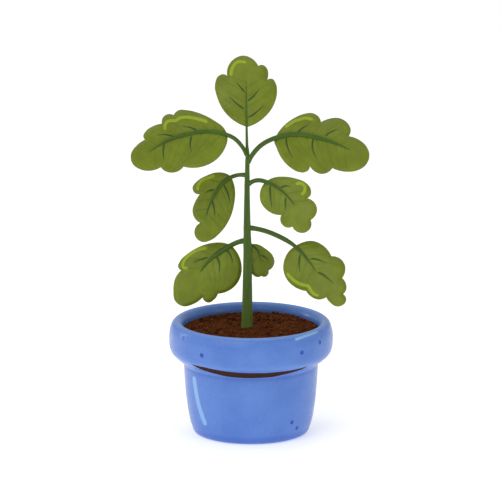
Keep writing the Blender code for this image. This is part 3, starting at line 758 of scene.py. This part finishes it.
def build_soil(material):
    """The block of soil, with an uneven crumbled surface, and loose crumbs that lie in it."""
    bottom = POT_FLOOR + SOIL_GAP
    wall = [(MOUTH_RADIUS, SOIL_HEIGHT), *INSIDE_WALL, (38.2, bottom)]
    edge = MOUTH_RADIUS - SOIL_GAP
    profile = [(r, soil_top(r)) for r in (edge * (k / 88) ** 0.9 for k in range(89))]
    profile += [(r - SOIL_GAP, z) for r, z in smooth_curve(wall, 6)[1:-1]] + [(37, bottom), (0, bottom)]
    points, faces = lathe(profile, SOIL_SEGMENTS, closed=False)
    points = np.array(points)
    reach = np.hypot(points[:, 0], points[:, 1])
    on_top = points[:, 2] > SOIL_HEIGHT - 1.5
    calm = smooth_step(0, 2.5, 54 - reach)
    lumps = 0.9 * rough(points, 9, 1) + 0.8 * rough(points, 3.4, 2) + 0.6 * rough(points, 1.6, 3)
    points[:, 2] += np.where(on_top, np.clip(lumps, -1.5, 1.3) * (0.3 + 0.7 * calm) - 0.3, 0)
    tone = np.clip(0.25 * rough(points, 2.2, 7), 0, 0.25)
    bed = add_mesh("soil_bed", points, faces, material, {"tone": tone})
    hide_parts("soil")
    build_crumbs(material)


def build_crumbs(material):
    """Loose crumbs: squashed, lumpy beads of many sizes, half sunk in the soil's surface."""
    random.seed(31)
    bead = bmesh.new()
    bmesh.ops.create_icosphere(bead, subdivisions=2, radius=1)
    corners = np.array([v.co for v in bead.verts])
    bead_faces = [tuple(v.index for v in f.verts) for f in bead.faces]
    bead.free()
    points, faces, tones = [], [], []
    for n in range(CRUMBS):
        reach = 52.6 * math.sqrt(random.random())
        angle = random.uniform(0, 2 * math.pi)
        size = 0.5 + 1.35 * random.random() ** 3
        x, y = reach * math.sin(angle), -reach * math.cos(angle)
        if math.hypot(x - STEM_RIGHT, y) < STEM_BASE_RADIUS + 0.6 * size:
            continue
        spin = random.uniform(0, 2 * math.pi)
        turn = Matrix.Rotation(spin, 3, Vector((random.random(), random.random(), 1)).normalized())
        shape = corners * (1 + 0.28 * rough(corners, 0.8, n % 97)[:, None])
        shape = shape * np.array([1.0, random.uniform(0.6, 0.95), random.uniform(0.5, 0.8)]) * size
        shape = shape @ np.array(turn)
        start = len(points)
        points += list(shape + np.array([x, y, soil_top(reach) + 0.15 * size]))
        faces += [tuple(start + i for i in face) for face in bead_faces]
        tones += [random.random() ** 2.5 * 0.8] * len(corners)
    add_mesh("soil_crumbs", points, faces, material, {"tone": tones})


# -------- stem, stalks and blades


def stem_radius(up):
    """The stem's radius at a height: it swells a little at its leaves and ends inside the top stalk."""
    if up < SOIL_HEIGHT - 4:
        return float(np.interp(up, [ROOT_END, SOIL_HEIGHT - 4], [ROOT_TIP_RADIUS, 4.4]))
    share = float(np.clip((up - SOIL_HEIGHT) / (STEM_TOP - SOIL_HEIGHT), 0, 1))
    even = STEM_BASE_RADIUS + (STEM_TOP_RADIUS - STEM_BASE_RADIUS) * share
    swelling = sum(0.22 * math.exp(-(((up - node_height(leaf)) / 3.5) ** 2)) for leaf in LEAVES.values())
    flare = 0.5 * math.exp(-max(up - SOIL_HEIGHT, 0) / 3)
    tip = 1 - 0.45 * float(smooth_step(STEM_TOP - 7, STEM_TOP, up))
    return (even + min(swelling, 0.3) * (1 - 0.6 * share) + flare) * tip


def build_stem(material):
    """The stem from its root crown to its tip: a rounded square, ribbed along its corners and sides."""
    heights = [ROOT_END, ROOT_END + 6, ROOT_END + 12, SOIL_HEIGHT - 4]
    heights += list(np.arange(SOIL_HEIGHT - 3, STEM_TOP, 0.9))
    path = [(STEM_RIGHT + 0.18 * math.sin(up / 17), 0.18 * math.sin(up / 23 + 1), up) for up in heights]

    def section(i):
        twist = 0.3 * math.sin(heights[i] / 40)
        ring = []
        for k in range(STEM_SIDES):
            angle = 2 * math.pi * k / STEM_SIDES
            square = 1 - 0.05 * math.cos(4 * angle + twist) + 0.012 * math.cos(12 * angle)
            reach = stem_radius(heights[i]) * square
            ring.append((reach * math.cos(angle), reach * math.sin(angle)))
        return ring

    points, faces = sweep(path, section)
    angles = np.tile(np.arange(STEM_SIDES) * 2 * math.pi / STEM_SIDES, len(heights))
    ups = np.repeat(heights, STEM_SIDES)
    ridge = smooth_step(0.4, 1.0, -np.cos(4 * angles))
    # painted light near the soil, fading out between 4 and 40 mm above it
    painted_light_at_base = 1 - smooth_step(SOIL_HEIGHT + 4, SOIL_HEIGHT + 40, ups)
    grain = np.array(points) * MM
    attributes = {"ridge": ridge, "painted_light_at_base": painted_light_at_base, "grain": grain}
    stem = add_mesh("stem_main", points, faces, material, attributes)
    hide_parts("stem")


def node_height(leaf):
    """The height at which a leaf's stalk leaves the stem."""
    return STEM_TOP - leaf["drop"]


def axes(leaf):
    """(where the blade begins, unit vector towards its tip) on the face plane."""
    base, tip = np.array(leaf["stalk"][leaf["entry"]], float), np.array(leaf["stalk"][-1], float)
    return base, (tip - base) / np.linalg.norm(tip - base)


def smooth_depth(leaf, points):
    """How far behind the face plane the blade lies at each (right, up), before its veins and ripples."""
    base, ahead = axes(leaf)
    step = points - base
    along = step @ ahead
    across = step[:, 1] * ahead[0] - step[:, 0] * ahead[1]
    return (
        leaf["reach"]
        + leaf["sweep"] * leaf["side"] * step[:, 0]
        + leaf["tilt"] * step[:, 1]
        + leaf["arch"] * np.maximum(along, 0) ** 2
        + leaf["cup"] * across**2
    )


def in_space(leaf, points, depth):
    """The points in space of (right, up) points at these depths behind the face plane."""
    plane = np.c_[STEM_RIGHT + points[:, 0], np.zeros(len(points)), node_height(leaf) + points[:, 1]]
    return plane + depth[:, None] * SIGHT


def blade_normals(leaf, points):
    """Unit normals on the blade's upper side, which looks forward and up."""
    def at(right, up):
        moved = points + np.array([right, up])
        return in_space(leaf, moved, smooth_depth(leaf, moved))

    normal = np.cross(at(0.5, 0) - at(-0.5, 0), at(0, 0.5) - at(0, -0.5))
    return normal / np.linalg.norm(normal, axis=1)[:, None]


def inside(points, outline):
    """Whether each point is inside a closed outline, by how often a line to its left crosses it."""
    crossed = np.zeros(len(points), bool)
    for (x0, y0), (x1, y1) in zip(outline, np.roll(outline, -1, axis=0)):
        spans = (y0 > points[:, 1]) != (y1 > points[:, 1])
        if y0 != y1:
            crossed ^= spans & (points[:, 0] < x0 + (points[:, 1] - y0) / (y1 - y0) * (x1 - x0))
    return crossed


def blade_layout(leaf):
    """(points, triangles, outline length, distance to the outline) of a blade on the face plane.

    The first points are the outline's. Each strong side vein is a row of points too, so that it is crisp.
    """
    ends = [stretch[-1] for stretch in leaf["outline"]]
    stretches = [[start, *rest] for start, rest in zip(ends[-1:] + ends[:-1], leaf["outline"])]
    outline = np.array([p for stretch in stretches for p in smooth_curve(stretch, OUTLINE_STEP)[:-1]])
    closed = np.r_[outline, outline[:1]]
    low, high = outline.min(axis=0), outline.max(axis=0)
    rows = np.arange(low[1], high[1], BLADE_GRID * math.sqrt(3) / 2)
    columns = np.arange(low[0], high[0], BLADE_GRID)
    grid = np.array([(x + BLADE_GRID / 2 * (n % 2), y) for n, y in enumerate(rows) for x in columns])
    grid = grid[inside(grid, outline)]
    grid = grid[distance_to(grid, closed)[0] > 0.5 * BLADE_GRID]

    edges = [(i, (i + 1) % len(outline)) for i in range(len(outline))]
    marked = outline
    for vein in leaf["veins"]:
        row = np.array(smooth_curve(vein, VEIN_STEP))
        grid = grid[distance_to(grid, row)[0] > 0.45 * BLADE_GRID]
        edges += [(len(marked) + i, len(marked) + i + 1) for i in range(len(row) - 1)]
        marked = np.r_[marked, row]
    everything = np.r_[marked, grid]
    points, _, faces, *_ = delaunay_2d_cdt([Vector(p) for p in everything], edges, [], 1, 1e-5)
    points = np.array(points)
    margin_away, _ = distance_to(points, closed)
    return points, faces, len(outline), margin_away


def fine_veins(leaf):
    """Faint side veins between the strong ones: curves that leave the midrib and bend towards the tip."""
    line = np.array(smooth_curve(leaf["stalk"][leaf["entry"]:], 1.0))
    made = []
    count = int(len(line) / (FINE_VEIN_SPACING / 2))
    away = np.linspace(0, FINE_VEIN_LENGTH, 14)
    for n in range(1, count + 1):
        i = min(int(n / (count + 1) * len(line)), len(line) - 2)
        ahead = line[i + 1] - line[i]
        ahead = ahead / np.linalg.norm(ahead)
        out = np.array([-ahead[1], ahead[0]]) * (1 if n % 2 else -1)
        made.append([line[i] + ahead * (0.45 * t + 0.012 * t * t) + out * t for t in away])
    return made


def strokes(points, lines, half_width):
    """How far inside one of these lines each point is, in millimetres, and below 0 outside them.

    half_width gives half a line's width at a share of its length.
    """
    into = np.full(len(points), -10.0)
    for line in lines:
        away, share = distance_to(points, line)
        into = np.maximum(into, half_width(share) - away)
    return into


def stalk_radius(leaf, share):
    """The radius of a stalk, and of the midrib that it becomes, at a share of their length."""
    taper = np.maximum(share - leaf["full"], 0) / (1 - leaf["full"])
    return leaf["radius"] * (1 - (1 - STALK_TIP_SHARE) * taper)


def vein_half_width(share):
    """A strong side vein is narrow where it leaves the midrib, widens and then runs out."""
    return VEIN_HALF_WIDTH * np.minimum(0.45 + 3.5 * share, 1) * (1 - 0.85 * share**1.4)


def fine_vein_half_width(share):
    return FINE_VEIN_HALF_WIDTH * (1 - 0.6 * share)


def highlight_band_half_width(share):
    return HIGHLIGHT_BAND_HALF_WIDTH * (1 - 0.12 * share)


def blade_marks(leaf, points, margin_away):
    """How far inside its strong veins, its fine veins and its painted highlight band each point of a blade
    is.
    """
    vein = strokes(points, [smooth_curve(line, VEIN_STEP) for line in leaf["veins"]], vein_half_width)
    fine = strokes(points, fine_veins(leaf), fine_vein_half_width)
    # the painted highlight band, a pale stroke inside the upper margin
    highlight_bands = [smooth_curve(leaf["highlight_band"], 1.0)] if leaf["highlight_band"] else []
    return vein, np.minimum(fine, margin_away - FINE_VEIN_MARGIN), strokes(points, highlight_bands, highlight_band_half_width)


def build_blade(name, leaf, material, seed):
    """A blade as a thin closed sheet: sunk veins, puckers, a margin that turns back, a keel beneath."""
    points, faces, rim, margin_away = blade_layout(leaf)
    vein, fine, highlight_band = blade_marks(leaf, points, margin_away)
    rib_away, rib_share = distance_to(points, smooth_curve(leaf["stalk"], 1.0))
    rib_radius = stalk_radius(leaf, rib_share)
    keel = (STALK_STANDS_OUT * rib_radius + 0.3) * np.exp(-((rib_away / (1.1 * rib_radius)) ** 2))
    all_veins = np.maximum(smooth_step(-0.6, 0.6, vein), 0.55 * smooth_step(-0.5, 0.5, fine))
    between = smooth_step(0.3, 4.0, np.minimum(rib_away, margin_away * 1.4)) * (1 - 0.8 * all_veins)
    place = np.c_[points, np.zeros(len(points))]
    ripple = RIPPLE_HEIGHT * rough(place, RIPPLE_SIZE, seed) * smooth_step(1, 12, rib_away)
    ripple = ripple + PUCKER_HEIGHT * rough(place, PUCKER_SIZE, seed + 1) * between
    depth = smooth_depth(leaf, points) + ripple
    depth += CURL * (1 - smooth_step(0, 3.2, margin_away)) - QUILT_HEIGHT * between
    depth += VEIN_DEPTH * all_veins - HIGHLIGHT_BAND_SWELL * smooth_step(-0.5, 0.5, highlight_band)
    full = smooth_step(0, MARGIN_WIDTH, margin_away)
    thickness = MARGIN_THICKNESS + (BLADE_THICKNESS - MARGIN_THICKNESS) * full
    middle = in_space(leaf, points, depth)
    normal = blade_normals(leaf, points)
    upper = middle + normal * thickness[:, None] / 2
    lower = middle - normal * (thickness / 2 + 0.25 * all_veins + keel * full)[:, None]
    count = len(points)
    solid = [tuple(f) for f in faces]
    solid += [tuple(count + i for i in reversed(f)) for f in faces]
    solid += [(i, (i + 1) % rim, count + (i + 1) % rim, count + i) for i in range(rim)]
    attributes = {
        "vein": np.r_[vein, vein],
        "fine_vein": np.r_[fine, fine],
        # the painted highlight band is on the upper side only
        "highlight_band": np.r_[highlight_band, np.full(count, -1.0)],
        "quilt": np.tile(between * (0.5 + 0.5 * rough(place, 5, seed + 2)), 2),
        "margin": np.tile(1 - smooth_step(0.1, 0.9, margin_away), 2),
        "under": np.r_[np.zeros(count), np.ones(count)],
        "rib": np.r_[np.full(count, -5.0), 0.8 * rib_radius - rib_away],
    }
    blade = add_mesh("blade_" + name, np.r_[upper, lower], solid, material, attributes)
    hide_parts("leaf_" + name)


def build_stalk(name, leaf, material):
    """The stalk, which starts inside the stem and swells where it leaves it, and then the midrib."""
    line = np.array(smooth_curve(leaf["stalk"], STALK_STEP))
    entry_point = np.array(leaf["stalk"][leaf["entry"]], float)
    entry = int(np.argmin(np.linalg.norm(line - entry_point, axis=1)))
    share = np.arange(len(line)) / (len(line) - 1)
    from_stem = np.r_[0, np.cumsum(np.linalg.norm(np.diff(line, axis=0), axis=1))]
    surface = stem_radius(node_height(leaf))
    swelling = 0.15 * np.exp(-(((from_stem - surface) / 2.0) ** 2))
    hidden_root = 0.5 * np.exp(-((from_stem / (0.7 * surface)) ** 2))
    radii = stalk_radius(leaf, share) * (1 + swelling - hidden_root)
    to_blade = smooth_step(0, 1, np.arange(len(line)) / max(0.8 * entry, 1))
    normal = blade_normals(leaf, line)
    in_front = STALK_STANDS_OUT * radii / np.abs(normal @ SIGHT)
    path = in_space(leaf, line, to_blade * (smooth_depth(leaf, line) - in_front))

    def section(i):
        radius = radii[i] * (0.5 if i == len(line) - 1 else 1)
        deep = 1 - (1 - MIDRIB_FLATNESS) * smooth_step(0.7 * entry, 1.6 * entry, i)
        ring = []
        for k in range(STALK_SIDES):
            angle = 2 * math.pi * k / STALK_SIDES
            groove = 1 + 0.06 * math.cos(angle) - 0.03 * math.cos(4 * angle)
            ring.append((deep * radius * groove * math.cos(angle), radius * groove * math.sin(angle)))
        return ring

    points, faces = sweep(path, section)
    angles = np.tile(np.arange(STALK_SIDES) * 2 * math.pi / STALK_SIDES, len(line))
    rings = np.array([side for i in range(len(line)) for side in section(i)])
    attributes = {
        "ridge": 0.4 * smooth_step(0.5, 1.0, -np.cos(angles)),
        "painted_light_at_base": np.zeros(len(points)),
        "grain": np.c_[rings, np.repeat(from_stem, STALK_SIDES)] * MM,
    }
    stalk = add_mesh("midrib_" + name, points, faces, material, attributes)
    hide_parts("stalk_" + name)


# -------- studio


def add_area_light(name, place, target, width, height, power):
    data = bpy.data.lights.new(name, "AREA")
    data.shape = "RECTANGLE"
    data.size, data.size_y = width, height
    data.energy = power
    lamp = bpy.data.objects.new(name, data)
    lamp.location = place
    lamp.rotation_euler = (Vector(target) - Vector(place)).to_track_quat("-Z", "Y").to_euler()
    bpy.context.scene.collection.objects.link(lamp)


def build_studio():
    """The floor, the softboxes and the even white light of the room."""
    floor = bpy.data.meshes.new("studio_floor")
    half = FLOOR_HALF_WIDTH
    corners = [(-half, -half, 0), (half, -half, 0), (half, half, 0), (-half, half, 0)]
    floor.from_pydata(corners, [], [(0, 1, 2, 3)])
    floor.materials.append(floor_material())
    ground = bpy.data.objects.new("studio_floor", floor)
    bpy.context.scene.collection.objects.link(ground)

    for name, (place, target, width, height, power) in SOFTBOXES.items():
        add_area_light(name, place, target, width, height, power)

    world = bpy.data.worlds.new("studio_world")
    world.use_nodes = True
    background = world.node_tree.nodes["Background"]
    background.inputs["Color"].default_value = (1, 1, 1, 1)
    background.inputs["Strength"].default_value = WORLD_STRENGTH
    bpy.context.scene.world = world
    bpy.context.scene.view_settings.view_transform = "Standard"
    bpy.context.scene.view_settings.look = "None"


def build_camera():
    """A long lens on the pot's front, FACE_SLOPE above the horizon, that takes in VIEW_WIDTH."""
    data = bpy.data.cameras.new("camera")
    data.lens = LENS
    data.sensor_width = SENSOR_WIDTH
    data.clip_end = 50
    distance = LENS / SENSOR_WIDTH * VIEW_WIDTH
    aim = Vector(AIM)
    back = Vector((0, -math.cos(FACE_SLOPE), math.sin(FACE_SLOPE)))
    camera = bpy.data.objects.new("camera", data)
    camera.location = aim + back * distance
    camera.rotation_euler = (-back).to_track_quat("-Z", "Y").to_euler()
    bpy.context.scene.collection.objects.link(camera)
    bpy.context.scene.camera = camera


def main():
    build_pot(pot_material())
    build_soil(soil_material())
    green = stem_material()
    build_stem(green)
    blade_green = leaf_material()
    for seed, (name, leaf) in enumerate(LEAVES.items()):
        build_blade(name, leaf, blade_green, 11 + 5 * seed)
        build_stalk(name, leaf, green)
    build_studio()
    build_camera()


main()
